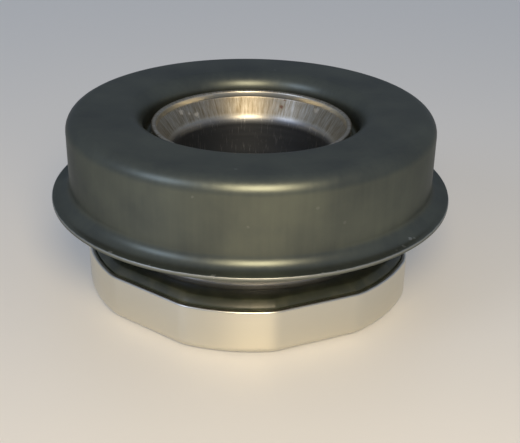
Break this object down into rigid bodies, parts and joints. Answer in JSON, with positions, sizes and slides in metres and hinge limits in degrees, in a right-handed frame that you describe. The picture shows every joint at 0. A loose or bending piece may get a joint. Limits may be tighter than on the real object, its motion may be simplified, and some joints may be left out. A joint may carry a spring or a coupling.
{
  "type": "mechanical shaft seal",
  "caption": "Unitised rotary shaft seal for a small water pump: flanged drawn case, spring and bellows inside, flared steel sleeve with a six-sided cup.",
  "frame": {"origin": "on the shaft's axis, in the plane of the sleeve's underside, on which the part stands", "axes": "+Z along the shaft, from the six-sided cup towards the case; +X to the right and +Y away as the part is seen from the front"},
  "size_m": [0.04, 0.04, 0.0181],
  "materials": {
    "case": "satin sealing lacquer on drawn steel",
    "seat_steel": "plain drawn stainless sheet",
    "bellows_rubber": "matt moulded nitrile",
    "spring_wire": "drawn stainless wire",
    "carbon": "matt resin-bonded carbon",
    "sleeve_steel": "bright drawn stainless with draw marks",
    "gasket_rubber": "matt moulded nitrile",
    "ring_ceramic": "lapped sintered ceramic, glossy"
  },
  "bodies": {
    "stationary": {"case": "case", "upper_spring_seat": "seat_steel", "bellows": "bellows_rubber", "coil_spring": "spring_wire"},
    "floating": {"drive_band": "seat_steel", "seal_ring": "carbon"},
    "rotor": {"sleeve": "sleeve_steel", "seat_gasket": "gasket_rubber", "mating_ring": "ring_ceramic"}
  },
  "joints": [
    {"name": "axial_float", "type": "slide", "parent": "stationary", "child": "floating", "axis": [0, 0, 1], "range_m": [0, 0.002], "stiffness_N_per_m": 3000, "springref_m": -0.0002, "deforming": ["coil_spring", "bellows"]},
    {"name": "shaft_spin", "type": "hinge", "parent": "floating", "child": "rotor", "pos_m": [0, 0, 0], "axis": [0, 0, 1], "continuous": true}
  ]
}
